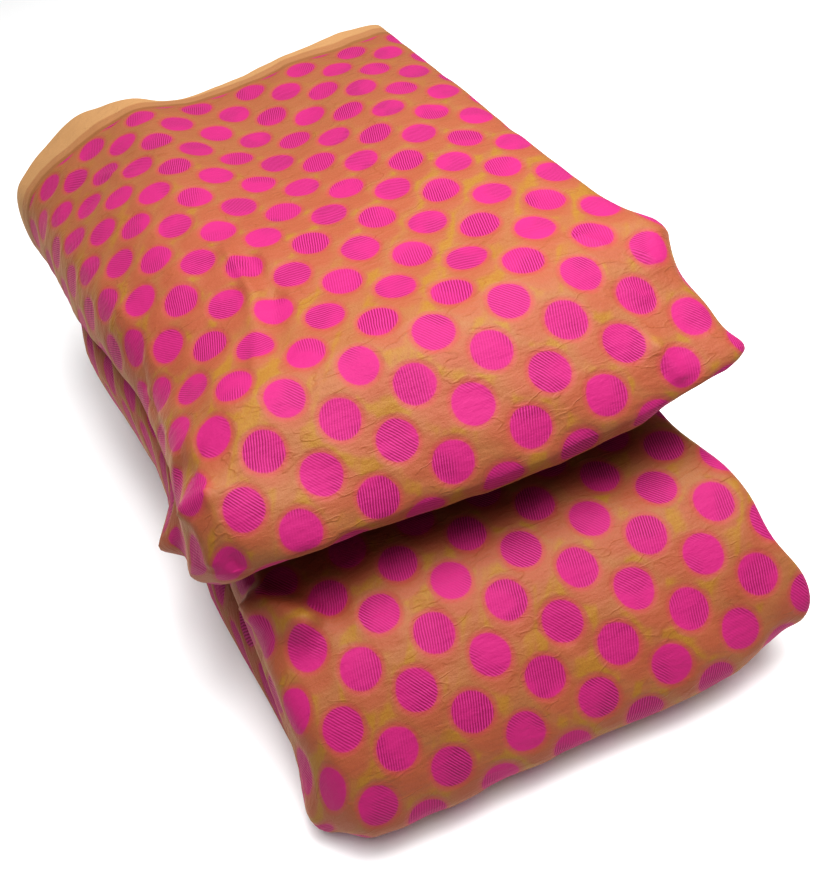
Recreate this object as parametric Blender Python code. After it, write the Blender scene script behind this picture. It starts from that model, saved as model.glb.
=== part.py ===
"""One cut length of sheer chanderi cotton, folded into a soft two-decker pad.

The cut is first folded in half twice across its length, into a strip one pad wide.
The strip is then zigzagged front to back into four bands, so two rounded noses face
the front, the lower one further out, and one fold lies at the back.  Everything is
one sheet: a back-and-forth section, carried along the zigzag.

Units: metres, +Z up.  X runs along the noses, Y from the noses to the back.
The tables are in millimetres, about a point under the middle of the top.
"""

import math
from collections import namedtuple

import bmesh
import bpy

NAME = "folded_fabric"
MM = 0.001

# ---------------------------------------------------------------- driving sizes (mm)
SHEET = 2.4            # thickness of one layer of the solid
STRIP = 24.5           # thickness of the pleated strip, through all its layers
TOP = 106.0            # height of the pad's flat top over the floor

# The strip's two faces.  "show" is the face of the outermost layer: it is the top of
# the pad, and wraps both noses.  "hide" is the other face, inside the noses.  "left" and
# "right" are the x of the strip's sides at even steps along a band, and "drop" is where
# the edge of the big left turn lies between the shown face, 0, and the hidden one, 1.
Band = namedtuple("Band", "show_z hide_z left right drop steps")
BANDS = (
    # top band, back to front
    Band(106.0, 81.5, (-84.0, -77.0, -70.0, -61.0, -59.0), (91.0, 92.0), 0.84, 12),
    # second, front to back
    Band(54.0, 78.5, (-66.0, -67.0, -73.0, -75.5, -77.0), (78.0, 90.0), 0.2, 5),
    # third, back to front
    Band(51.5, 27.0, (-78.0, -74.0, -68.0, -60.0, -59.0), (90.0, 86.0), 0.88, 6),
    # bottom band, front to back
    Band(0.0, 24.5, (-61.0, -70.0, -70.0, -71.0, -74.0), (85.0, 85.0), 0.35, 5),
)

# Each fold joins two bands.  A face leaves the upper band at y "start", bulges to the
# point (tip_y, tip_z) and meets the lower band at y "end".  "slope" is how round it is
# above the tip and "under" below it: 1 is a wedge, 2 is round.
Curve = namedtuple("Curve", "start tip_y tip_z end slope under")
Fold = namedtuple("Fold", "show hide steps")
FOLDS = (
    #     face      start   tip_y   tip_z  end    slope  under
    Fold(Curve(-88.0, -133.5, 78.5, -102.0, 1.36, 1.9),
         Curve(-86.0, -108.0, 76.0, -90.0, 1.6, 1.6), 12),    # upper nose
    Fold(Curve(88.0, 92.6, 52.75, 88.0, 2.0, 2.0),
         Curve(88.0, 115.0, 52.75, 88.0, 2.0, 2.0), 6),       # back fold
    Fold(Curve(-138.0, -191.0, 15.5, -167.0, 1.62, 2.0),
         Curve(-134.0, -162.0, 18.5, -140.0, 1.6, 2.0), 10),  # lower nose
)
SELVEDGE_TOP = 111.0       # y of the selvedge that lies on top, at the back
SELVEDGE_BOTTOM = 92.0     # y of the selvedge under the pad
SELVEDGE_STEP = -7.0       # how far the hidden layers' selvedge lies behind the top one

# The strip is the cut folded in half twice, so its section runs back and forth: from
# one cut end at the right, inside, to the other.  "depth" is 0 at the shown face of
# the strip and 1 at the hidden one; "start" and "end" are -1 at the left turns and 1
# at the right ones.
Layer = namedtuple("Layer", "depth start end points")
LAYERS = (
    #     depth  start   end   points
    Layer(0.640, 0.96, -1.00, 7),      # inner layer, below
    Layer(0.360, -1.00, 1.00, 7),      # inner layer, above
    Layer(0.050, 1.00, -1.00, 12),     # outer layer that shows
    Layer(0.950, -1.00, 0.93, 8),      # outer layer inside the noses
)
TURN_POINTS = (3, 4, 7)
OUTER_TURN = 2             # the big left turn, from the layer that shows to the one inside
EDGE_SHARP = 1.1           # 1 is a sharp edge on the outer turn, 2 a round one
EDGE_ROUND = 2.1

# Where the pad sags, rises and sticks out.
Bump = namedtuple("Bump", "x y z size_x size_y size_z move_x move_y move_z")
BUMPS = (
    #     x      y      z     size x, y, z         moved by x, y, z
    Bump(-28.0, 85.0, 106.0, 15.0, 80.0, 40.0, 0.0, 0.0, 4.8),      # ridge on the top
    Bump(13.0, 55.0, 106.0, 20.0, 70.0, 40.0, 0.0, 0.0, -3.0),      # dip beside it
    Bump(-62.0, -62.0, 98.0, 28.0, 36.0, 40.0, 0.0, 0.0, -9.0),     # hollow, left front
    Bump(-68.0, -120.0, 88.0, 16.0, 16.0, 20.0, 0.0, 0.0, 6.0),     # corner of the nose
    Bump(92.0, -108.0, 92.0, 22.0, 26.0, 26.0, 0.0, 0.0, -3.5),     # right front, lower
    Bump(58.0, 40.0, 106.0, 17.0, 95.0, 40.0, 0.0, 0.0, 2.2),       # low swell at the right
    Bump(-64.0, 112.0, 98.0, 32.0, 22.0, 30.0, -3.0, 14.0, 1.0),    # selvedge, left part
    Bump(62.0, 112.0, 104.0, 40.0, 22.0, 30.0, 0.0, 4.0, 0.0),      # selvedge, right part
    Bump(-88.0, 112.0, 95.0, 16.0, 14.0, 24.0, -3.5, 0.0, 0.0),     # corner, back left
    Bump(-84.0, 24.0, 58.0, 10.0, 26.0, 14.0, -4.5, 0.0, 0.0),      # left lobe, second band
    Bump(99.0, -134.0, 82.0, 13.0, 14.0, 8.5, 21.0, 1.0, 4.0),      # ear of the upper nose
    Bump(97.0, -134.0, 65.0, 18.0, 20.0, 8.5, -25.0, 12.0, 9.0),    # tuck under the ear
    Bump(100.0, -113.0, 88.0, 14.0, 13.0, 14.0, 8.0, 0.0, 1.0),     # bulge behind the ear
    Bump(100.0, -84.0, 91.0, 14.0, 22.0, 18.0, 7.0, 0.0, 1.0),      # right edge behind it
    Bump(98.0, -84.0, 101.0, 12.0, 9.0, 14.0, 2.0, 0.0, 2.6),       # corner above that
    Bump(86.0, -139.0, 74.0, 19.0, 10.0, 10.0, 0.0, 4.5, 2.5),      # edge below the ear
    Bump(-45.0, -128.0, 64.0, 45.0, 26.0, 16.0, 0.0, 3.0, 3.0),     # underside, left half
    Bump(-74.0, -114.0, 60.0, 12.0, 14.0, 12.0, -2.0, -1.0, -2.0),  # low corner of the nose
    Bump(-80.0, -90.0, 56.0, 9.0, 8.0, 9.0, -9.0, -2.0, -3.0),      # left tip, second band
    Bump(97.0, -116.0, 46.0, 14.0, 18.0, 12.0, -5.0, 0.0, 0.0),     # right edge, lower pad
    Bump(97.0, -166.0, 30.0, 16.0, 12.0, 15.0, -7.0, 0.0, 0.0),     # dent, lower right
    Bump(90.0, -190.0, 8.0, 24.0, 16.0, 13.0, -6.0, 9.0, 2.0),      # right end, lower nose
    Bump(90.0, -176.0, 34.0, 12.0, 14.0, 12.0, 4.0, 0.0, 1.0),      # swell above it
    Bump(-74.0, -175.0, 6.0, 12.0, 10.0, 12.0, -5.0, -9.0, -1.0),   # left tip, lower nose
)
LEFT_SAG = (-45.0, 45.0, 19.0)      # from this x, over this width, by this much
RIGHT_SAG = (86.0, 20.0, 8.0)
SLANT = 0.06                        # the noses run a little askew, further out at +X
SLANT_REACH = 120.0                 # the slant grows from the middle to this far forward
PULL_BACK = (-45.0, 35.0, 9.0)      # the noses' left ends: from this x, width, amount

COLOUR = (0.62, 0.22, 0.13, 1.0)
ROUGHNESS = 0.75


# ---------------------------------------------------------------- the zigzag
def quarter(turn, power):
    """A quarter of a superellipse: how far out, and what is left, for turn 0 to 1."""
    angle = turn * math.pi / 2.0
    return math.sin(angle) ** (2.0 / power), math.cos(angle) ** (2.0 / power)


def fold_point(curve, z_from, z_to, turn):
    """A point of one face on a fold, for turn 0 (upper band) to 1 (lower band)."""
    if turn <= 0.5:
        out, left = quarter(2.0 * turn, curve.slope)
        y = curve.start + (curve.tip_y - curve.start) * out
        return y, curve.tip_z + (z_from - curve.tip_z) * left
    out, left = quarter(2.0 - 2.0 * turn, curve.under)
    y = curve.end + (curve.tip_y - curve.end) * out
    return y, curve.tip_z + (z_to - curve.tip_z) * left


def mix(a, b, share):
    return a + (b - a) * share


def band_ends(index):
    """The y at which both faces of a band start and end: (show, hide), (show, hide)."""
    if index == 0:
        first = (SELVEDGE_TOP, SELVEDGE_TOP + SELVEDGE_STEP)
    else:
        first = (FOLDS[index - 1].show.end, FOLDS[index - 1].hide.end)
    if index == len(BANDS) - 1:
        last = (SELVEDGE_BOTTOM, SELVEDGE_BOTTOM + SELVEDGE_STEP)
    else:
        last = (FOLDS[index].show.start, FOLDS[index].hide.start)
    return first, last


def along(knots, share):
    """The value at a share of the way along evenly spaced knots."""
    place = share * (len(knots) - 1)
    index = min(int(place), len(knots) - 2)
    return mix(knots[index], knots[index + 1], place - index)


def stations():
    """The rungs across the strip: show y, z, hide y, z, left x, right x and drop."""
    rungs = []
    for index, band in enumerate(BANDS):
        first, last = band_ends(index)
        for step in range(band.steps + 1):
            share = step / band.steps
            rungs.append((mix(first[0], last[0], share), band.show_z,
                          mix(first[1], last[1], share), band.hide_z,
                          along(band.left, share), along(band.right, share), band.drop))
        if index == len(FOLDS):
            break
        fold, below = FOLDS[index], BANDS[index + 1]
        for step in range(1, fold.steps):
            turn = step / fold.steps
            show = fold_point(fold.show, band.show_z, below.show_z, turn)
            hide = fold_point(fold.hide, band.hide_z, below.hide_z, turn)
            rungs.append((*show, *hide, mix(band.left[-1], below.left[0], turn),
                          mix(band.right[-1], below.right[0], turn),
                          mix(band.drop, below.drop, turn)))
    return rungs


# ---------------------------------------------------------------- the pleated section
def turn_section(index, heading, half, drop):
    """The turn out of a layer, as (across, shift, depth) for each of its points."""
    start, end = LAYERS[index], LAYERS[index + 1]
    down = 1.0 if end.depth > start.depth else -1.0
    edge = drop if index == OUTER_TURN else (start.depth + end.depth) / 2.0
    grow = -heading * down * half
    reach = abs(end.depth - start.depth) / 2.0 + grow
    points = []
    for step in range(1, TURN_POINTS[index] + 1):
        angle = math.pi * step / (TURN_POINTS[index] + 1)
        near = start.depth if angle < math.pi / 2.0 else end.depth
        side = abs(edge - near) + grow
        power = 2.0 / mix(EDGE_SHARP, EDGE_ROUND, side) if index == OUTER_TURN else 1.0
        shift = heading * reach * STRIP * math.sin(angle) ** power
        rise = side * abs(math.cos(angle)) ** power
        depth = edge - down * rise if near == start.depth else edge + down * rise
        points.append((start.end, shift, depth))
    return points


def section(side, drop):
    """One side of the sheet, 1 or -1, as (across, shift, depth) for each point.

    "across" runs from -1 at the left turns to 1 at the right ones, "shift" is a
    distance out from there, and "depth" is the place between the strip's faces.
    """
    half = side * SHEET / 2.0 / STRIP
    points = []
    for index, layer in enumerate(LAYERS):
        heading = 1.0 if layer.end > layer.start else -1.0
        for step in range(layer.points):
            across = mix(layer.start, layer.end, step / (layer.points - 1))
            points.append((across, 0.0, layer.depth + heading * half))
        if index < len(TURN_POINTS):
            points += turn_section(index, heading, half, drop)
    return points


# ---------------------------------------------------------------- how the pad lies
def ramp(value):
    """0 below 0, 1 above 1, and smooth between."""
    value = min(max(value, 0.0), 1.0)
    return value * value * (3.0 - 2.0 * value)


def settle(x, y, z):
    """Lets a point of the evenly folded pad sag, swell and slant."""
    height = z / TOP
    start, width, drop = LEFT_SAG
    z -= height * drop * max(0.0, (start - x) / width) ** 1.5
    start, width, drop = RIGHT_SAG
    z -= height * drop * max(0.0, (x - start) / width) ** 2.0
    moved = [x, y, z]
    for bump in BUMPS:
        away = ((x - bump.x) / bump.size_x) ** 2
        away += ((y - bump.y) / bump.size_y) ** 2
        away += ((z - bump.z) / bump.size_z) ** 2
        pull = math.exp(-away) * ramp(z / 8.0)
        moved[0] += pull * bump.move_x
        moved[1] += pull * bump.move_y
        moved[2] += pull * bump.move_z
    forward = min(max(-y / SLANT_REACH, 0.0), 1.6)
    moved[1] -= SLANT * moved[0] * forward
    start, width, amount = PULL_BACK
    moved[1] += amount * ramp(forward) * max(0.0, (start - x) / width) ** 2.0
    return moved


def place(rung, point):
    """The place of one section point on one rung of the strip, in metres."""
    show_y, show_z, hide_y, hide_z, left, right, _ = rung
    across, shift, depth = point
    x = mix(left, right, (across + 1.0) / 2.0) + shift
    y = mix(show_y, hide_y, depth)
    z = mix(show_z, hide_z, depth)
    return [value * MM for value in settle(x, y, z)]


# ---------------------------------------------------------------- the solid
def sheet_mesh():
    """Lofts the section along the strip and closes the sheet's four edges."""
    mesh = bmesh.new()
    rows = []
    for rung in stations():
        one_side, other_side = section(-1.0, rung[-1]), section(1.0, rung[-1])
        points = one_side + other_side[::-1]
        rows.append([mesh.verts.new(place(rung, point)) for point in points])
    count = len(rows[0])
    for row, following in zip(rows, rows[1:]):
        for index in range(count):
            after = (index + 1) % count
            mesh.faces.new((row[index], row[after], following[after], following[index]))
    for row in (rows[0], rows[-1]):
        for index in range(count // 2 - 1):
            mesh.faces.new((row[index], row[index + 1],
                            row[count - 2 - index], row[count - 1 - index]))
    bmesh.ops.recalc_face_normals(mesh, faces=mesh.faces)
    return mesh


def centre_on_floor(mesh):
    """Puts the origin under the middle of the pad, on the floor."""
    low = [min(vert.co[axis] for vert in mesh.verts) for axis in range(3)]
    high = [max(vert.co[axis] for vert in mesh.verts) for axis in range(3)]
    move = (-(low[0] + high[0]) / 2.0, -(low[1] + high[1]) / 2.0, -low[2])
    bmesh.ops.translate(mesh, verts=mesh.verts, vec=move)


def cloth_material():
    material = bpy.data.materials.new("chanderi_cotton")
    material.use_nodes = True
    shader = material.node_tree.nodes["Principled BSDF"]
    shader.inputs["Base Color"].default_value = COLOUR
    shader.inputs["Roughness"].default_value = ROUGHNESS
    shader.inputs["Metallic"].default_value = 0.0
    return material


def build():
    for old in list(bpy.data.objects):
        bpy.data.objects.remove(old, do_unlink=True)
    group = bpy.data.collections.new("chanderi_fabric_pad")
    bpy.context.scene.collection.children.link(group)

    mesh = sheet_mesh()
    centre_on_floor(mesh)
    data = bpy.data.meshes.new(NAME)
    mesh.to_mesh(data)
    mesh.free()
    data.materials.append(cloth_material())
    data.shade_smooth()
    group.objects.link(bpy.data.objects.new(NAME, data))


build()
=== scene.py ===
"""The looks of a folded length of chanderi cotton: one sheet, its woven dots and its light."""

import math
from collections import namedtuple

import bpy
import numpy as np
from mathutils import Matrix, Vector


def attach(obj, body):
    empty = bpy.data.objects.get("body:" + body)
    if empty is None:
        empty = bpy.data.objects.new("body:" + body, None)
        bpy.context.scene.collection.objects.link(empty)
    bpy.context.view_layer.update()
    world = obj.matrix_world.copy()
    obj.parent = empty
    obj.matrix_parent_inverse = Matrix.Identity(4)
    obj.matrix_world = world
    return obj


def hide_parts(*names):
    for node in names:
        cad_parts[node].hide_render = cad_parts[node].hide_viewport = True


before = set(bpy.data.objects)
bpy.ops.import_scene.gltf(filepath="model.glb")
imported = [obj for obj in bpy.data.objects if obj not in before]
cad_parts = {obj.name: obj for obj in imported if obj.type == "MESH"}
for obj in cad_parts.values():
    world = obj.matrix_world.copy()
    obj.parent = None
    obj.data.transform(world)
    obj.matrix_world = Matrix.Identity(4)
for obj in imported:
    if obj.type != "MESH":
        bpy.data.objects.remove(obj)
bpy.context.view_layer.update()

MM = 0.001

# ------------------------------------------------------------------ the folded shape (mm)
# These are the named tables of the part's solid, drawn here with finer steps.  x runs
# along the noses, y from the noses to the back, z is the height over the floor.
STRIP = 24.5           # thickness of the pleated strip, through all its layers
TOP = 106.0            # height of the pad's flat top

# "left" and "right" are the x of the strip's two sides at even steps along a band, and
# "drop" is where the left turn's edge lies between the shown face, 0, and the hidden one.
Band = namedtuple("Band", "show_z hide_z left right drop steps")
BANDS = (
    # top band, back to front
    Band(106.0, 81.5, (-84.0, -77.0, -70.0, -61.0, -59.0), (91.0, 92.0), 0.84, 120),
    # second, front to back
    Band(54.0, 78.5, (-66.0, -67.0, -73.0, -75.5, -77.0), (78.0, 90.0), 0.2, 30),
    # third, back to front
    Band(51.5, 27.0, (-78.0, -74.0, -68.0, -60.0, -59.0), (90.0, 86.0), 0.88, 66),
    # bottom band, front to back
    Band(0.0, 24.5, (-61.0, -70.0, -70.0, -71.0, -74.0), (85.0, 85.0), 0.35, 26),
)
Curve = namedtuple("Curve", "start tip_y tip_z end slope under")
Fold = namedtuple("Fold", "show hide steps")
FOLDS = (
    # the face that shows, then the hidden one, then how many steps the fold has
    #     start   tip_y   tip_z  end    slope  under
    Fold(Curve(-88.0, -133.5, 78.5, -102.0, 1.36, 1.9),
         Curve(-86.0, -108.0, 76.0, -90.0, 1.6, 1.6), 66),    # upper nose
    Fold(Curve(88.0, 92.6, 52.75, 88.0, 2.0, 2.0),
         Curve(88.0, 115.0, 52.75, 88.0, 2.0, 2.0), 18),      # back fold
    Fold(Curve(-138.0, -191.0, 15.5, -167.0, 1.62, 2.0),
         Curve(-134.0, -162.0, 18.5, -140.0, 1.6, 2.0), 66),  # lower nose
)
SELVEDGE_TOP = 111.0       # y of the selvedge that lies on top, at the back
SELVEDGE_BOTTOM = 92.0     # y of the selvedge under the pad
SELVEDGE_STEP = -7.0       # how far the hidden layers' selvedge lies behind the top one

# The strip's section runs back and forth from one cut end to the other.  "depth" is 0
# at the shown face and 1 at the hidden one; "start" and "end" are -1 left to 1 right.
Layer = namedtuple("Layer", "depth start end points")
LAYERS = (
    #     depth  start   end   points
    Layer(0.640, 0.96, -1.00, 22),     # inner layer, below
    Layer(0.360, -1.00, 1.00, 22),     # inner layer, above
    Layer(0.012, 1.00, -1.00, 122),    # outer layer that shows
    Layer(0.988, -1.00, 0.93, 40),     # outer layer inside the noses
)
TURN_POINTS = (6, 9, 26)   # points in the turn out of each layer but the last
OUTER_TURN = 2         # the big left turn, from the layer that shows to the one inside
EDGE_SHARP = 1.1       # 1 is a sharp edge on the outer turn, 2 a round one
EDGE_ROUND = 2.1

# Each bump moves the cloth near x, y, z, and fades out over its sizes.
Bump = namedtuple("Bump", "x y z size_x size_y size_z move_x move_y move_z")
BUMPS = (
    #     x      y      z     size x, y, z         moved by x, y, z
    Bump(-28.0, 85.0, 106.0, 15.0, 80.0, 40.0, 0.0, 0.0, 4.8),      # ridge on the top
    Bump(13.0, 55.0, 106.0, 20.0, 70.0, 40.0, 0.0, 0.0, -3.0),      # dip beside it
    Bump(-62.0, -62.0, 98.0, 28.0, 36.0, 40.0, 0.0, 0.0, -9.0),     # hollow, left front
    Bump(-68.0, -120.0, 88.0, 16.0, 16.0, 20.0, 0.0, 0.0, 6.0),     # corner of the nose
    Bump(92.0, -108.0, 92.0, 22.0, 26.0, 26.0, 0.0, 0.0, -3.5),     # right front, lower
    Bump(58.0, 40.0, 106.0, 17.0, 95.0, 40.0, 0.0, 0.0, 2.2),       # low swell at the right
    Bump(-64.0, 112.0, 98.0, 32.0, 22.0, 30.0, -3.0, 14.0, 1.0),    # selvedge, left part
    Bump(62.0, 112.0, 104.0, 40.0, 22.0, 30.0, 0.0, 4.0, 0.0),      # selvedge, right part
    Bump(-88.0, 112.0, 95.0, 16.0, 14.0, 24.0, -3.5, 0.0, 0.0),     # corner, back left
    Bump(-84.0, 24.0, 58.0, 10.0, 26.0, 14.0, -4.5, 0.0, 0.0),      # left lobe, second band
    Bump(99.0, -134.0, 82.0, 13.0, 14.0, 8.5, 21.0, 1.0, 4.0),      # ear of the upper nose
    Bump(97.0, -134.0, 65.0, 18.0, 20.0, 8.5, -25.0, 12.0, 9.0),    # tuck under the ear
    Bump(100.0, -113.0, 88.0, 14.0, 13.0, 14.0, 8.0, 0.0, 1.0),     # bulge behind the ear
    Bump(100.0, -84.0, 91.0, 14.0, 22.0, 18.0, 7.0, 0.0, 1.0),      # right edge behind it
    Bump(98.0, -84.0, 101.0, 12.0, 9.0, 14.0, 2.0, 0.0, 2.6),       # corner above that
    Bump(86.0, -139.0, 74.0, 19.0, 10.0, 10.0, 0.0, 4.5, 2.5),      # edge below the ear
    Bump(-45.0, -128.0, 64.0, 45.0, 26.0, 16.0, 0.0, 3.0, 3.0),     # underside, left half
    Bump(-74.0, -114.0, 60.0, 12.0, 14.0, 12.0, -2.0, -1.0, -2.0),  # low corner of the nose
    Bump(-80.0, -90.0, 56.0, 9.0, 8.0, 9.0, -9.0, -2.0, -3.0),      # left tip, second band
    Bump(97.0, -116.0, 46.0, 14.0, 18.0, 12.0, -5.0, 0.0, 0.0),     # right edge, lower pad
    Bump(97.0, -166.0, 30.0, 16.0, 12.0, 15.0, -7.0, 0.0, 0.0),     # dent, lower right
    Bump(90.0, -190.0, 8.0, 24.0, 16.0, 13.0, -6.0, 9.0, 2.0),      # right end, lower nose
    Bump(90.0, -176.0, 34.0, 12.0, 14.0, 12.0, 4.0, 0.0, 1.0),      # swell above it
    Bump(-74.0, -175.0, 6.0, 12.0, 10.0, 12.0, -5.0, -9.0, -1.0),   # left tip, lower nose
)
# From this x outward, over this width, by this much.
LEFT_SAG = (-45.0, 45.0, 19.0)
LEFT_SAG_CURVE = 1.5
RIGHT_SAG = (86.0, 20.0, 8.0)
RIGHT_SAG_CURVE = 2.0
PULL_BACK = (-45.0, 35.0, 9.0)
PULL_BACK_CURVE = 2.0
SLANT = 0.06           # how much the noses slant across the pad
SLANT_REACH = 120.0    # the slant grows forward over this y
SLANT_LIMIT = 1.6      # and stops at this many reaches
BUMP_EASE = 8.0        # bumps fade out below this height
FLOOR_EASE = 10.0      # and so do waves, creases and raised dots below this one
LOWEST = 0.35          # no cloth lies lower than this

# ------------------------------------------------------------------ creases of the cloth (mm)
# Each crease is a straight line on the cloth.  "out" pushes the cloth out (or in, below 0)
# along its own normal, "width" is how far the push spreads, and "edge" is 0 for a soft
# trough or ridge and 1 for one with a sharp middle.
Crease = namedtuple("Crease", "x0 y0 z0 x1 y1 z1 width out edge")
CREASES = (
    #      from x, y, z            to x, y, z             width  out  edge
    Crease(76.0, 60.0, 104.0, 79.0, -80.0, 103.0, 3.2, 1.3, 1.0),        # pressed line, right
    Crease(79.0, -80.0, 103.0, 66.0, -132.0, 84.0, 3.0, 1.0, 1.0),
    Crease(74.0, -82.0, 106.0, 80.0, -92.0, 104.0, 3.0, -1.8, 0.8),      # dents along it
    Crease(86.0, -94.0, 103.0, 92.0, -104.0, 100.0, 3.0, -1.8, 0.8),
    Crease(76.0, -104.0, 99.0, 82.0, -112.0, 96.0, 3.0, -1.6, 0.8),
    Crease(74.0, -122.0, 92.0, 78.0, -135.0, 83.0, 3.5, -2.4, 0.8),
    Crease(-25.0, -16.0, 106.0, -24.0, -50.0, 106.0, 2.6, -1.9, 0.8),    # pinches on the top
    Crease(-24.0, -46.0, 106.0, -35.0, -80.0, 105.0, 2.8, -1.8, 0.8),
    Crease(-19.0, -20.0, 106.0, -18.0, -54.0, 106.0, 3.2, 1.3, 0.4),
    Crease(-18.0, -46.0, 106.0, -27.0, -84.0, 105.0, 3.6, 1.1, 0.4),
    Crease(-62.0, -26.0, 96.0, -69.0, -46.0, 84.0, 3.0, 1.6, 1.0),       # bend, left front
    Crease(-69.0, -46.0, 84.0, -69.0, -74.0, 84.0, 3.0, 1.6, 1.0),
    Crease(-68.0, -88.0, 89.0, -62.0, -99.0, 95.0, 6.0, 2.5, 0.2),       # knob above the pocket
    Crease(-69.0, -104.0, 86.0, -58.0, -109.0, 94.0, 3.0, -10.0, 0.7),   # pocket
    Crease(-65.0, -110.0, 90.0, -68.0, -120.0, 78.0, 3.0, -3.0, 0.8),
    Crease(-60.0, -114.0, 88.0, -64.0, -128.0, 78.0, 3.0, 2.4, 1.0),     # fold below it
    Crease(-66.0, -104.0, 48.0, -42.0, -133.0, 51.0, 3.0, 3.2, 1.0),     # flap, lower pad
    Crease(-66.0, -113.0, 47.0, -48.0, -137.0, 49.0, 6.0, -9.0, 0.2),
    Crease(-70.0, -122.0, 38.0, -69.0, -150.0, 31.0, 2.6, 2.0, 1.0),     # left edge, lower pad
    Crease(-69.0, -148.0, 31.0, -62.0, -182.0, 14.0, 2.6, 1.8, 1.0),
    Crease(-64.0, -128.0, 44.0, -64.0, -160.0, 36.0, 4.0, -2.0, 0.4),
    Crease(-17.0, -142.0, 50.0, -22.0, -166.0, 43.0, 3.4, 1.4, 0.8),     # wrinkles, lower pad
    Crease(-40.0, -138.0, 50.0, -26.0, -150.0, 48.0, 3.6, -1.4, 0.6),
    Crease(12.0, -168.0, 40.0, 22.0, -176.0, 35.0, 2.6, 1.0, 0.8),
    Crease(-78.0, 100.0, 101.0, -36.0, 45.0, 107.0, 2.6, -1.0, 0.8),     # line, back left
)

# Soft waves over the whole cloth, from a fixed seed: how long, how high, how many.
Waves = namedtuple("Waves", "length height count seed")
WAVES = (
    #     length height count seed
    Waves(58.0, 0.55, 7, 11),
    Waves(27.0, 0.22, 9, 12),
    Waves(13.0, 0.09, 12, 13),
)

# The selvedge waves where it lies loose at the back of the top.
SelvedgeWave = namedtuple("SelvedgeWave", "x width move_y move_z")
SELVEDGE_WAVES = (
    #            x     width  back   up
    SelvedgeWave(-84.0, 14.0, -3.0, -1.5),
    SelvedgeWave(-52.0, 13.0, 2.0, 0.8),
    SelvedgeWave(-14.0, 13.0, -2.5, -1.5),
    SelvedgeWave(20.0, 15.0, 1.0, -0.5),
    SelvedgeWave(48.0, 12.0, -1.5, 0.7),
    SelvedgeWave(78.0, 14.0, 1.5, 0.8),
)
SELVEDGE_REACH = 22.0      # how far in from the edge the waves run out
SELVEDGE_SHIFT = 9.0       # how far the waves of the hidden face lie beside the shown

# ------------------------------------------------------------------ the weave (mm)
REPEAT = 25.0          # one repeat of the woven dots
COLUMN_X = 4.2         # a column of dots runs along this x
COLUMN_LEAN = -0.055   # and leans by this much on the top, behind the next y
LEAN_FROM = -82.0
ROW_Y = 93.25          # the last row of dots before the selvedge
LOWER_ROW_Y = -129.5   # a row of the same kind on the lower pad
ROW_SLANT = 0.03       # how much the rows lean on the noses
ROW_EASE = 1.8         # and how far they slip forward on the upper one

TOP_ROWS_AT = 0.5      # the rows are true to their lengths at this place on the bands
LOWER_ROWS_AT = 2.75   # and, on the lower pad, at this one
ROWS_MEET = (1.1, 1.2) # they go over from here, over this much

DOT_RISE = 0.28        # how far a dot stands up
DOT_TOP = 0.20         # a dot is at its full height to this distance, in repeats
DOT_SLOPE = 0.16       # and slopes down over this one

# Where the cloth is slack, its columns stand closer: by these shares at each band.
Slack = namedtuple("Slack", "band left right")
SLACKS = (
    #     band  left   right
    Slack(0.3, 0.0, 0.0),
    Slack(0.95, 0.07, 0.0),
    Slack(1.4, 0.07, 0.0),
    Slack(2.4, 0.05, 0.025),
)

# ------------------------------------------------------------------ camera and lights
TABLE_TO_ROW = (-3.54, 35.30, -0.02)       # from the tables' place to the frame's, in mm
CAMERA_AT = (-44.69, -257.68, 257.98)      # in the tables' millimetres
CAMERA_RIGHT = (0.892, -0.431, -0.136)
CAMERA_DOWN = (-0.411, -0.652, -0.637)
CAMERA_AHEAD = (0.186, 0.625, -0.758)
SENSOR = 36.0
LENS = 31.55

SKY = 0.22
Light = namedtuple("Light", "name place target size power")
LIGHTS = (
    Light("near", (0.07, -0.07, 0.38), (0.04, -0.06, 0.0), 0.2, 0.66),
    Light("broad", (0.18, 0.02, 1.20), (0.0, -0.03, 0.0), 1.2, 14.5),
)
FLOOR_HALF = 4.0           # half the side of the floor, in metres
FLOOR_LIGHT = (0.93, 0.93, 0.93, 1.0)
FLOOR_DARK = (0.88, 0.88, 0.88, 1.0)


# ------------------------------------------------------------------ shape
def mix(a, b, share):
    return a + (b - a) * share


def ramp(value):
    """0 below 0, 1 above 1, and smooth between."""
    value = np.clip(value, 0.0, 1.0)
    return value * value * (3.0 - 2.0 * value)


def quarter(turn, power):
    """A quarter of a superellipse: how far along and how far down, for turn 0 to 1."""
    angle = turn * math.pi / 2.0
    return math.sin(angle) ** (2.0 / power), math.cos(angle) ** (2.0 / power)


def fold_point(curve, z_from, z_to, turn):
    """A point of one face on a fold, for turn 0 (upper band) to 1 (lower band)."""
    if turn <= 0.5:
        out, left = quarter(2.0 * turn, curve.slope)
        y = curve.start + (curve.tip_y - curve.start) * out
        return y, curve.tip_z + (z_from - curve.tip_z) * left
    out, left = quarter(2.0 - 2.0 * turn, curve.under)
    y = curve.end + (curve.tip_y - curve.end) * out
    return y, curve.tip_z + (z_to - curve.tip_z) * left


def along(knots, share):
    """The value at a share of the way along evenly spaced knots, straight between them."""
    return float(np.interp(share, np.linspace(0.0, 1.0, len(knots)), knots))


def band_ends(index):
    """The y at which both faces of a band start and end: (show, hide), (show, hide)."""
    if index == 0:
        first = (SELVEDGE_TOP, SELVEDGE_TOP + SELVEDGE_STEP)
    else:
        first = (FOLDS[index - 1].show.end, FOLDS[index - 1].hide.end)
    if index == len(BANDS) - 1:
        last = (SELVEDGE_BOTTOM, SELVEDGE_BOTTOM + SELVEDGE_STEP)
    else:
        last = (FOLDS[index].show.start, FOLDS[index].hide.start)
    return first, last


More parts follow.
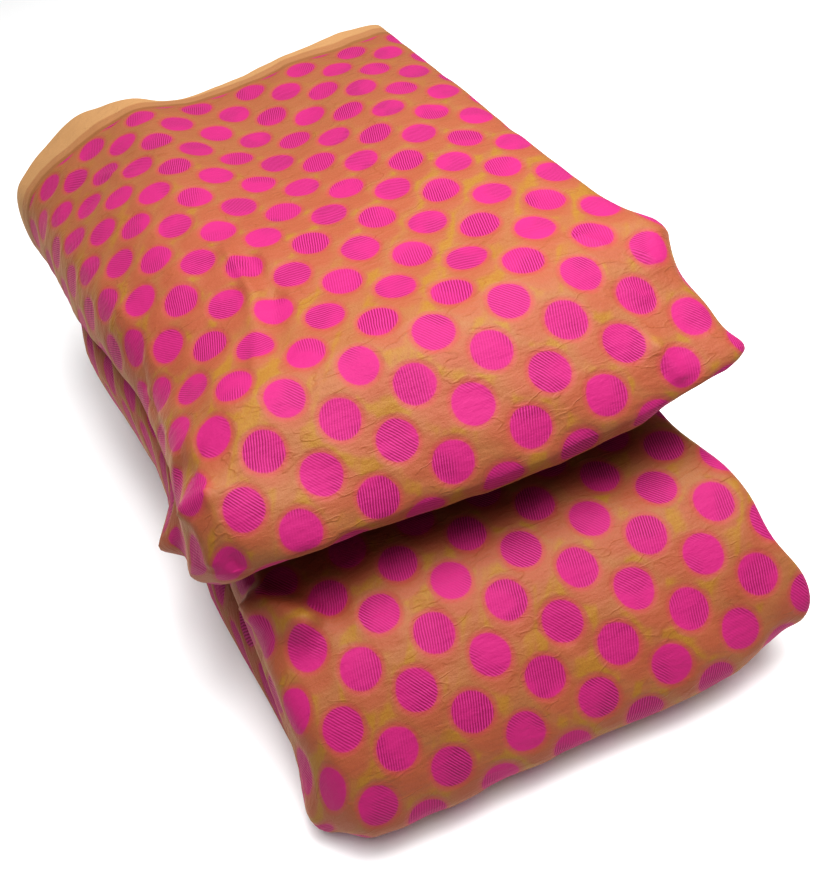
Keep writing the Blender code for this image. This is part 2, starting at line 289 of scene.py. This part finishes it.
# The columns of a rung.
SHOW_Y, SHOW_Z, HIDE_Y, HIDE_Z, LEFT, RIGHT, BAND, DROP = range(8)


def stations():
    """The rungs across the strip: show y, z, hide y, z, left x, right x, band, drop."""
    rungs = []
    for index, band in enumerate(BANDS):
        first, last = band_ends(index)
        for step in range(band.steps + 1):
            share = step / band.steps
            rungs.append((mix(first[0], last[0], share), band.show_z,
                          mix(first[1], last[1], share), band.hide_z,
                          along(band.left, share), along(band.right, share),
                          index + share, band.drop))
        if index == len(FOLDS):
            break
        fold, below = FOLDS[index], BANDS[index + 1]
        for step in range(1, fold.steps):
            turn = step / fold.steps
            show = fold_point(fold.show, band.show_z, below.show_z, turn)
            hide = fold_point(fold.hide, band.hide_z, below.hide_z, turn)
            rungs.append((*show, *hide, mix(band.left[-1], below.left[0], turn),
                          mix(band.right[-1], below.right[0], turn), index + 1.0,
                          mix(band.drop, below.drop, turn)))
    return np.array(rungs)


def turn_section(index, heading, drop):
    """The turn out of a layer: (across, shift, depth, layer) for each of its points."""
    start, end = LAYERS[index], LAYERS[index + 1]
    down = 1.0 if end.depth > start.depth else -1.0
    edge = drop if index == OUTER_TURN else (start.depth + end.depth) / 2.0
    reach = abs(end.depth - start.depth) / 2.0
    points = []
    for step in range(1, TURN_POINTS[index] + 1):
        angle = math.pi * step / (TURN_POINTS[index] + 1)
        near = start.depth if angle < math.pi / 2.0 else end.depth
        side = abs(edge - near)
        power = 2.0 / mix(EDGE_SHARP, EDGE_ROUND, side) if index == OUTER_TURN else 1.0
        shift = heading * reach * STRIP * math.sin(angle) ** power
        rise = side * abs(math.cos(angle)) ** power
        depth = edge - down * rise if near == start.depth else edge + down * rise
        points.append((start.end, shift, depth, index + 0.5))
    return points


def section(drop):
    """The sheet's section, back and forth: (across, shift, depth, layer) for each point."""
    points = []
    for index, layer in enumerate(LAYERS):
        heading = 1.0 if layer.end > layer.start else -1.0
        for step in range(layer.points):
            across = mix(layer.start, layer.end, step / (layer.points - 1))
            points.append((across, 0.0, layer.depth, index))
        if index < len(TURN_POINTS):
            points += turn_section(index, heading, drop)
    return points


def settle(x, y, z):
    """Lets the evenly folded pad sag, swell and slant, as its solid does."""
    height = z / TOP
    start, width, drop = LEFT_SAG
    z = z - height * drop * np.maximum(0.0, (start - x) / width) ** LEFT_SAG_CURVE
    start, width, drop = RIGHT_SAG
    z = z - height * drop * np.maximum(0.0, (x - start) / width) ** RIGHT_SAG_CURVE
    moved = [x.copy(), y.copy(), z.copy()]
    for bump in BUMPS:
        away = ((x - bump.x) / bump.size_x) ** 2
        away += ((y - bump.y) / bump.size_y) ** 2
        away += ((z - bump.z) / bump.size_z) ** 2
        pull = np.exp(-away) * ramp(z / BUMP_EASE)
        moved[0] += pull * bump.move_x
        moved[1] += pull * bump.move_y
        moved[2] += pull * bump.move_z
    forward = np.clip(-y / SLANT_REACH, 0.0, SLANT_LIMIT)
    moved[1] -= SLANT * moved[0] * forward
    start, width, amount = PULL_BACK
    outward = np.maximum(0.0, (start - x) / width)
    moved[1] += amount * ramp(forward) * outward ** PULL_BACK_CURVE
    return np.stack(moved, axis=-1)


def dimple(u, v):
    """Lets the stiff dots stand a little above the thin cloth between them."""
    away = np.minimum(np.hypot(u - np.round(u), v - np.round(v)),
                      np.hypot(u - np.floor(u) - 0.5, v - np.floor(v) - 0.5))
    return DOT_RISE * (1.0 - ramp((away - DOT_TOP) / DOT_SLOPE)) * ramp((v + 0.5) / 0.3)


def grid_normals(grid):
    """The unit normal at each point of a grid of points, out on the layer that shows."""
    down_strip = np.gradient(grid, axis=0)
    across = np.gradient(grid, axis=1)
    normal = np.cross(down_strip, across)
    return normal / np.maximum(np.linalg.norm(normal, axis=-1, keepdims=True), 1e-9)


def crease_push(grid, crease):
    """How far a crease pushes each point of the cloth, along its normal."""
    start = np.array((crease.x0, crease.y0, crease.z0))
    line = np.array((crease.x1, crease.y1, crease.z1)) - start
    share = np.clip((grid - start) @ line / (line @ line), 0.0, 1.0)
    away = np.linalg.norm(grid - start - share[..., None] * line, axis=-1) / crease.width
    soft = np.exp(-away ** 2)
    sharp = np.exp(-1.6 * away)
    fade = ramp(share * 5.0 + 0.25) * ramp((1.0 - share) * 5.0 + 0.25)
    return crease.out * fade * mix(soft, sharp, crease.edge)


def wave_height(grid):
    """The soft waves of the cloth, at each point of the grid."""
    height = np.zeros(grid.shape[:-1])
    for waves in WAVES:
        random = np.random.default_rng(waves.seed)
        for _ in range(waves.count):
            direction = random.normal(size=3)
            direction /= np.linalg.norm(direction)
            length = waves.length * random.uniform(0.75, 1.35)
            phase = random.uniform(0.0, 2.0 * math.pi)
            height += (waves.height / math.sqrt(waves.count / 2.0)
                       * np.sin(grid @ direction * 2.0 * math.pi / length + phase))
    return height


def selvedge_waves(grid, rungs, depth):
    """Lets the loose selvedge at the back of the top wave, its layers not quite together."""
    near = ramp(1.0 - (SELVEDGE_TOP - rungs[:, SHOW_Y]) / SELVEDGE_REACH)
    near = np.where(rungs[:, BAND] < 1.0, near, 0.0)[:, None]
    x = grid[..., 0]
    for wave in SELVEDGE_WAVES:
        pull = near * np.exp(-((x - wave.x - SELVEDGE_SHIFT * depth) / wave.width) ** 2)
        grid[..., 1] += pull * wave.move_y
        grid[..., 2] += pull * wave.move_z
    return grid


def show_push(rungs):
    """The unit direction from the strip's hidden face to the one that shows, per rung."""
    y, z = rungs[:, SHOW_Y] - rungs[:, HIDE_Y], rungs[:, SHOW_Z] - rungs[:, HIDE_Z]
    size = np.hypot(y, z)
    return np.stack((np.zeros_like(y), y / size, z / size), axis=-1)


def shown_share(layer):
    """1 on the layer that shows, running out over the turns beside it."""
    outer = np.clip(layer - 1.4, 0.0, 0.6) / 0.6
    return (outer * np.clip(3.1 - layer, 0.0, 1.0) ** 0.5)[None, :]


def cloth_grid():
    """All points of the cloth in millimetres, rung by rung: creased, and before the creases."""
    rungs = stations()
    sections = np.array([section(drop) for drop in rungs[:, DROP]])
    across, shift, depth = (sections[..., k] for k in range(3))
    layer = sections[0, :, 3]
    show_y, show_z, hide_y, hide_z, left, right = (
        rungs[:, k][:, None] for k in (SHOW_Y, SHOW_Z, HIDE_Y, HIDE_Z, LEFT, RIGHT))
    x = mix(left, right, (across + 1.0) / 2.0) + shift
    grid = settle(x, mix(show_y, hide_y, depth), mix(show_z, hide_z, depth))
    grid = selvedge_waves(grid, rungs, depth)

    floor_ease = ramp(grid[..., 2] / FLOOR_EASE)
    grid += (wave_height(grid) * floor_ease)[..., None] * show_push(rungs)[:, None, :]
    smooth = grid.copy()
    push = sum(crease_push(grid, crease) for crease in CREASES)
    grid += (push * floor_ease * shown_share(layer))[..., None] * grid_normals(grid)
    grid[..., 2] = np.maximum(grid[..., 2], LOWEST)
    return grid, smooth, rungs, layer


# ------------------------------------------------------------------ place on the weave
def steps_along(grid, axis):
    """The running length along one axis of the grid."""
    size = np.linalg.norm(np.diff(grid, axis=axis), axis=-1)
    start = np.zeros_like(size.take([0], axis=axis))
    return np.concatenate((start, np.cumsum(size, axis=axis)), axis=axis)


def row_place(grid, rungs, band, row_y, ease):
    """The place of each point across the rows of dots, in repeats, true near one band."""
    length = steps_along(grid, 0)
    anchor = int(np.argmin(np.abs(rungs[:, BAND] - band)))
    place = length - length[anchor] + row_y - grid[anchor, :, 1][None, :]
    forward = np.clip(-grid[..., 1] / SLANT_REACH, 0.0, SLANT_LIMIT)
    return (place - (ease + ROW_SLANT * grid[..., 0]) * forward) / REPEAT


def weave_place(grid, rungs, layer):
    """Where each point lies on the weave, in repeats from a dot near the middle."""
    across_length = steps_along(grid, 1)
    shown = np.flatnonzero(layer == 2)
    u = np.empty(grid.shape[:2])
    on_top = np.where(rungs[:, BAND] < 1.0, rungs[:, SHOW_Y] - LEAN_FROM, 0.0)
    columns = COLUMN_X + COLUMN_LEAN * np.maximum(0.0, on_top)
    order = shown[::-1]
    for row, (column, length) in enumerate(zip(columns, across_length)):
        start = np.interp(column, grid[row, order, 0], length[order])
        u[row] = (start - length) / REPEAT
    bands, left, right = zip(*SLACKS)
    slack = np.where(u < 0.0, np.interp(rungs[:, BAND], bands, left)[:, None],
                     np.interp(rungs[:, BAND], bands, right)[:, None])
    u *= 1.0 + slack
    v_top = row_place(grid, rungs, TOP_ROWS_AT, ROW_Y, ROW_EASE)
    v_low = row_place(grid, rungs, LOWER_ROWS_AT, LOWER_ROW_Y, 0.0)
    v_low += round(float((v_top - v_low)[:, shown].mean()))
    first, over = ROWS_MEET
    v = mix(v_top, v_low, ramp((rungs[:, BAND] - first) / over)[:, None])
    return u, v


def cloth_object():
    """The cloth as one open mesh, with the layer "weave" holding its place on the weave."""
    grid, smooth, rungs, layer = cloth_grid()
    u, v = weave_place(smooth, rungs, layer)
    rise = dimple(u, v) * shown_share(layer) * ramp(grid[..., 2] / FLOOR_EASE)
    grid += rise[..., None] * grid_normals(grid)
    rows, columns = grid.shape[:2]
    places = (grid + np.array(TABLE_TO_ROW)) * MM
    index = np.arange(rows * columns).reshape(rows, columns)
    corners = np.stack((index[:-1, :-1], index[:-1, 1:], index[1:, 1:], index[1:, :-1]), -1)
    corners = corners.reshape(-1, 4)[:, ::-1]
    mesh = bpy.data.meshes.new("folded_cloth")
    mesh.from_pydata(places.reshape(-1, 3).tolist(), [], corners.tolist())
    places_on_weave = mesh.uv_layers.new(name="weave")
    flat = np.stack((u.reshape(-1), v.reshape(-1)), -1)[corners.reshape(-1)]
    places_on_weave.data.foreach_set("uv", flat.astype(np.float32).reshape(-1))
    mesh.shade_smooth()
    mesh.update()
    cloth = bpy.data.objects.new("folded_cloth", mesh)
    bpy.context.scene.collection.objects.link(cloth)
    return cloth


# ------------------------------------------------------------------ materials
def colour(red, green, blue):
    """A screen colour, 0 to 255, as the linear one that shaders use."""
    linear = [(c / 255.0 / 12.92 if c <= 10 else ((c / 255.0 + 0.055) / 1.055) ** 2.4)
              for c in (red, green, blue)]
    return (*linear, 1.0)


class Pattern:
    """Adds nodes to a material and links them, so a pattern reads as a formula."""

    def __init__(self, tree):
        self.tree = tree

    def node(self, kind, inputs=(), **settings):
        made = self.tree.nodes.new(kind)
        for name, value in settings.items():
            setattr(made, name, value)
        for name, value in dict(inputs).items():
            self.feed(made.inputs[name], value)
        return made

    def feed(self, socket, value):
        if isinstance(value, bpy.types.NodeSocket):
            self.tree.links.new(value, socket)
        else:
            socket.default_value = value

    def math(self, operation, *values):
        made = self.tree.nodes.new("ShaderNodeMath")
        made.operation = operation
        for socket, value in zip(made.inputs, values):
            self.feed(socket, value)
        return made.outputs[0]

    def add(self, a, b):
        return self.math("ADD", a, b)

    def take(self, a, b):
        return self.math("SUBTRACT", a, b)

    def times(self, a, b):
        return self.math("MULTIPLY", a, b)

    def step(self, value, low, high, to_low=0.0, to_high=1.0):
        """to_low below low, to_high above high, and smooth between."""
        made = self.node("ShaderNodeMapRange", interpolation_type="SMOOTHSTEP")
        for socket, number in zip(made.inputs[:5], (value, low, high, to_low, to_high)):
            self.feed(socket, number)
        return made.outputs[0]

    def choose(self, factor, a, b):
        made = self.node("ShaderNodeMix", data_type="FLOAT")
        for socket, number in zip((made.inputs[0], made.inputs[2], made.inputs[3]),
                                  (factor, a, b)):
            self.feed(socket, number)
        return made.outputs[0]

    def blend(self, factor, a, b):
        made = self.node("ShaderNodeMix", data_type="RGBA")
        for socket, value in zip((made.inputs[0], made.inputs[6], made.inputs[7]),
                                 (factor, a, b)):
            self.feed(socket, value)
        return made.outputs[2]

    def point(self, x, y, z=0.0):
        return self.node("ShaderNodeCombineXYZ", {"X": x, "Y": y, "Z": z}).outputs[0]

    def noise(self, place, scale, detail=2.0, rough=0.5):
        made = self.node("ShaderNodeTexNoise", {"Vector": place, "Scale": scale,
                                                "Detail": detail, "Roughness": rough})
        return made.outputs["Fac"]

    def hash(self, place):
        return self.node("ShaderNodeTexWhiteNoise", {"Vector": place},
                         noise_dimensions="3D").outputs["Value"]

    def lattice(self, u, v):
        """The nearest dot: distance, place from its centre (2), its number, and its row."""
        near_u = self.math("FLOOR", self.add(u, 0.5))
        near_v = self.math("FLOOR", self.add(v, 0.5))
        mid_u = self.add(self.math("FLOOR", u), 0.5)
        mid_v = self.add(self.math("FLOOR", v), 0.5)
        away_near = self.length(self.take(u, near_u), self.take(v, near_v))
        away_mid = self.length(self.take(u, mid_u), self.take(v, mid_v))
        odd = self.math("LESS_THAN", away_mid, away_near)
        centre_u = self.choose(odd, near_u, mid_u)
        centre_v = self.choose(odd, near_v, mid_v)
        return (self.math("MINIMUM", away_near, away_mid), self.take(u, centre_u),
                self.take(v, centre_v), self.point(centre_u, centre_v), odd)

    def length(self, a, b):
        return self.math("SQRT", self.add(self.times(a, a), self.times(b, b)))


DOT_RADIUS = 0.252          # in repeats
RIB = 0.033                 # one rib of a dot, in repeats
RIB_LEANS = (0.30, -0.62)   # how the ribs of one row of dots lean, and of the next
BORDER_V = -0.30            # no dots nearer to the selvedge than this

# the next two colours are the painted highlight and painted shade on the ribs of a dot
DOT_RIB_HIGHLIGHT = colour(180, 56, 126)
DOT_RIB_SHADE = colour(118, 2, 62)
DOT_SMOOTH = colour(168, 40, 108)
HALO = colour(164, 66, 74)
GROUND = colour(148, 100, 66)
GHOST = colour(152, 78, 60)
OCHRE = colour(148, 112, 38)
# the next colour is the real thread tone, and it also serves as painted shade along the fine
# wrinkles
THREAD_TONE_AND_CREASE_SHADE = colour(134, 76, 38)
BORDER = colour(172, 134, 94)
# the next colour is painted shade in a band along the border
BORDER_SHADE_LINE = colour(132, 88, 52)


def woven_dots(p, u, v):
    """The dots on the face of the cloth: mask, ring round it, ribs, and their strength."""
    place = p.point(u, v)
    wobble = p.times(p.take(p.noise(place, 3.0), 0.5), 0.035)
    threads = p.times(p.take(p.noise(p.point(u, p.times(v, 3.0)), 30.0), 0.5), 0.03)
    away, local_u, local_v, number, odd = p.lattice(u, v)
    away = p.add(away, p.add(wobble, threads))
    inside = p.step(v, BORDER_V - 0.02, BORDER_V + 0.02)
    dot = p.times(p.step(away, DOT_RADIUS + 0.018, DOT_RADIUS - 0.014), inside)
    ring = p.times(p.step(away, DOT_RADIUS + 0.085, DOT_RADIUS + 0.005), inside)

    chance = p.hash(number)
    lean = p.add(p.choose(odd, *RIB_LEANS), p.times(p.take(chance, 0.5), 0.14))
    rib_place = p.add(p.times(local_u, p.math("COSINE", lean)),
                      p.times(local_v, p.math("SINE", lean)))
    waver = p.times(p.take(p.noise(place, 6.0, 1.0), 0.5), 0.02)
    rib = p.math("SINE", p.times(p.add(rib_place, waver), 2.0 * math.pi / RIB))
    rib = p.add(p.times(rib, 0.5), 0.5)
    patches = p.step(p.noise(p.point(u, v, 7.0), 1.9, 1.0), 0.40, 0.60)
    clear = p.add(p.times(patches, 0.7), p.times(p.step(chance, 0.35, 0.65), 0.4))
    return dot, ring, rib, p.math("MINIMUM", clear, 1.0)


def cloth_beneath(p, u, v):
    """What shows through: the blurred dots of the layer beneath, and the gaps between."""
    drift_u = p.take(p.noise(p.point(u, v, 3.0), 0.22, 0.0), 0.5)
    drift_v = p.take(p.noise(p.point(u, v, 5.0), 0.22, 0.0), 0.5)
    beneath = p.lattice(p.add(p.add(u, 0.30), drift_u), p.add(p.add(v, 0.10), drift_v))[0]
    blur = p.times(p.take(p.noise(p.point(u, v, 9.0), 4.0), 0.5), 0.20)
    soft = p.add(beneath, blur)
    seen = p.step(v, 0.6, 4.5, 0.25, 1.0)
    ghost = p.times(p.step(soft, 0.40, 0.16), seen)
    face = p.lattice(u, v)[0]
    slant = p.point(p.add(p.times(u, 1.7), p.times(v, 1.1)), p.times(v, 0.55), 2.0)
    patches = p.step(p.noise(slant, 1.9, 2.0), 0.42, 0.60)
    gap = p.times(p.step(soft, 0.25, 0.35), p.step(p.add(face, blur), 0.30, 0.35))
    return ghost, p.times(p.times(gap, patches), seen)


def fine_wrinkles(p, u, v):
    """Short soft wrinkles in the ground, mostly along the rows."""
    swirl = p.noise(p.point(p.times(u, 0.7), p.times(v, 1.5), 8.0), 2.6, 2.0, 0.5)
    line = p.step(p.math("ABSOLUTE", p.take(swirl, 0.5)), 0.035, 0.0)
    return p.times(line, p.step(p.noise(p.point(u, v, 14.0), 1.7, 2.0), 0.42, 0.62))


def cloth_material():
    """Sheer tan cloth with woven dots, and the blurred dots of the layer beneath."""
    material = bpy.data.materials.new("chanderi_cotton")
    material.use_nodes = True
    shader = material.node_tree.nodes["Principled BSDF"]
    p = Pattern(material.node_tree)
    uv = p.node("ShaderNodeUVMap", uv_map="weave").outputs["UV"]
    split = p.node("ShaderNodeSeparateXYZ", {"Vector": uv})
    u, v = split.outputs["X"], split.outputs["Y"]
    dot, ring, rib, rib_clear = woven_dots(p, u, v)
    ghost, gap = cloth_beneath(p, u, v)
    wrinkle = p.times(fine_wrinkles(p, u, v), p.take(1.0, dot))

    # colour, from the plain ground up to the dots
    warm = p.step(p.noise(p.point(u, v, 12.0), 0.7, 2.0), 0.35, 0.65)
    ground = p.blend(p.times(warm, 0.2), GROUND, GHOST)
    ground = p.blend(p.times(ghost, 0.6), ground, GHOST)
    ground = p.blend(p.times(gap, 0.75), ground, OCHRE)
    fine = p.noise(p.point(p.times(u, 2.5), v), 24.0, 3.0, 0.65)
    ground = p.blend(p.step(fine, 0.38, 0.72, 0.0, 0.35), ground, THREAD_TONE_AND_CREASE_SHADE)
    # painted shade: the ground is darkened toward the thread colour along the fine wrinkles
    ground = p.blend(p.times(wrinkle, 0.28), ground, THREAD_TONE_AND_CREASE_SHADE)
    edge_wave = p.times(p.take(p.noise(p.point(u, 0.0, 1.0), 0.9), 0.5), 0.25)
    edge_place = p.add(v, edge_wave)
    border = p.blend(p.step(edge_place, -0.66, -0.60), BORDER, p.blend(0.35, GROUND, BORDER))
    # painted shade: a darker wavy band just inside the border, behind the first row of dots
    line = p.times(p.step(edge_place, -0.44, -0.38), p.step(edge_place, -0.26, -0.34))
    ground = p.blend(p.step(v, BORDER_V, BORDER_V - 0.12), ground, border)
    ground = p.blend(p.times(line, 0.7), ground, BORDER_SHADE_LINE)
    base = p.blend(p.times(ring, 0.6), ground, HALO)
    # painted highlight and shade: each rib of a dot is painted lighter on its crown and darker
    # in its groove
    rib_highlight_and_shade = p.blend(rib, DOT_RIB_SHADE, DOT_RIB_HIGHLIGHT)
    base = p.blend(dot, base, p.blend(p.times(rib_clear, 0.85), DOT_SMOOTH, rib_highlight_and_shade))
    p.feed(shader.inputs["Base Color"], base)

    # relief: ribs, the raised dots, crinkles along the rows, and threads
    crinkle = p.noise(p.point(p.times(u, 0.7), p.times(v, 2.2), 4.0), 4.0, 3.0, 0.6)
    pucker = p.noise(p.point(u, v, 4.0), 7.0, 3.0, 0.6)
    weave = p.noise(p.point(p.times(u, 3.0), v, 6.0), 45.0, 1.0)
    height = p.times(p.times(rib, rib_clear), p.times(dot, 0.08))
    height = p.add(height, p.times(ring, 0.16))
    height = p.add(height, p.times(crinkle, 0.45))
    height = p.add(height, p.times(pucker, 0.30))
    height = p.add(height, p.times(weave, 0.06))
    height = p.add(height, p.times(wrinkle, -0.12))
    bump = p.node("ShaderNodeBump", {"Height": height, "Distance": 0.001, "Strength": 0.8})
    p.feed(shader.inputs["Normal"], bump.outputs["Normal"])
    p.feed(shader.inputs["Roughness"], p.add(p.choose(dot, 0.55, 0.66), p.times(weave, 0.1)))

    shader.inputs["Sheen Weight"].default_value = 0.22
    shader.inputs["Sheen Roughness"].default_value = 0.35
    shader.inputs["Sheen Tint"].default_value = colour(255, 214, 170)
    shader.inputs["Specular IOR Level"].default_value = 0.32
    return material


# ------------------------------------------------------------------ stage
def floor_object():
    material = bpy.data.materials.new("pale_floor")
    material.use_nodes = True
    shader = material.node_tree.nodes["Principled BSDF"]
    p = Pattern(material.node_tree)
    place = p.node("ShaderNodeTexCoord").outputs["Object"]
    grain = p.noise(place, 40.0, 3.0)
    p.feed(shader.inputs["Base Color"],
           p.blend(p.times(grain, 0.02), FLOOR_LIGHT, FLOOR_DARK))
    p.feed(shader.inputs["Roughness"], p.step(grain, 0.0, 1.0, 0.85, 0.95))
    shader.inputs["Specular IOR Level"].default_value = 0.1
    mesh = bpy.data.meshes.new("floor")
    size = FLOOR_HALF
    mesh.from_pydata([(-size, -size, 0), (size, -size, 0), (size, size, 0), (-size, size, 0)],
                     [], [(0, 1, 2, 3)])
    mesh.materials.append(material)
    floor = bpy.data.objects.new("floor", mesh)
    bpy.context.scene.collection.objects.link(floor)
    return floor


def area_light(name, place, target, size, power):
    light = bpy.data.lights.new(name, "AREA")
    light.shape = "DISK"
    light.size = size
    light.energy = power
    lamp = bpy.data.objects.new(name, light)
    lamp.location = place
    lamp.rotation_mode = "QUATERNION"
    toward = Vector(target) - Vector(place)
    lamp.rotation_quaternion = toward.to_track_quat("-Z", "Y")
    bpy.context.scene.collection.objects.link(lamp)


def camera():
    data = bpy.data.cameras.new("photo_view")
    data.sensor_fit = "VERTICAL"
    data.sensor_height = SENSOR
    data.lens = LENS
    data.clip_start = 0.01
    made = bpy.data.objects.new("photo_view", data)
    place = (Vector(CAMERA_AT) + Vector(TABLE_TO_ROW)) * MM
    turn = Matrix((Vector(CAMERA_RIGHT), -Vector(CAMERA_DOWN), -Vector(CAMERA_AHEAD)))
    made.matrix_world = Matrix.Translation(place) @ turn.transposed().to_4x4()
    bpy.context.scene.collection.objects.link(made)
    bpy.context.scene.camera = made


def studio():
    scene = bpy.context.scene
    scene.view_settings.view_transform = "Standard"
    scene.view_settings.look = "High Contrast"
    world = bpy.data.worlds.new("studio")
    world.use_nodes = True
    back = world.node_tree.nodes["Background"]
    back.inputs["Color"].default_value = (1.0, 1.0, 1.0, 1.0)
    back.inputs["Strength"].default_value = SKY
    scene.world = world
    for light in LIGHTS:
        area_light(*light)


# ------------------------------------------------------------------ the piece
cloth = cloth_object()
cloth.data.materials.append(cloth_material())
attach(cloth, "root")
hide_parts("folded_fabric")

floor = floor_object()
camera()
studio()
